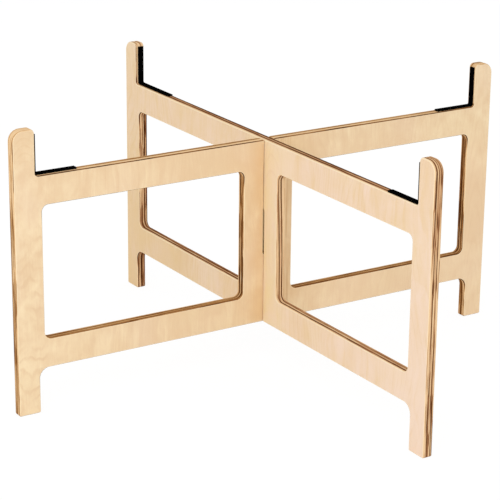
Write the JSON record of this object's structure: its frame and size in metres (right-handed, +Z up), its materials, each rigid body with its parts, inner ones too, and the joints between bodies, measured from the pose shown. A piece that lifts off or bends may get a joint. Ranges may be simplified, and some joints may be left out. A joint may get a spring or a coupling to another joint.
{
  "type": "cajon stand",
  "caption": "Knock-down floor stand for a table drum: slotted plywood panels crossed at right angles, with end posts and black padded seats.",
  "frame": {"origin": "on the floor, under the crossing of the two panels", "axes": "+Z up; +X along the lower panel, whose slot opens up; +Y along the upper panel, whose slot opens down"},
  "size_m": [0.99, 0.99, 0.5],
  "materials": {
    "birch_plywood": "clear satin",
    "black_foam": "matte"
  },
  "bodies": {
    "lower_panel": {"lower_panel": "birch_plywood", "left_seat_pad": "black_foam", "right_seat_pad": "black_foam"},
    "upper_panel": {"upper_panel": "birch_plywood", "front_seat_pad": "black_foam", "rear_seat_pad": "black_foam"}
  },
  "joints": [
    {"name": "panel_lift", "type": "slide", "parent": "lower_panel", "child": "upper_panel", "axis": [0, 0, 1], "range_m": [0, 0.36]}
  ]
}
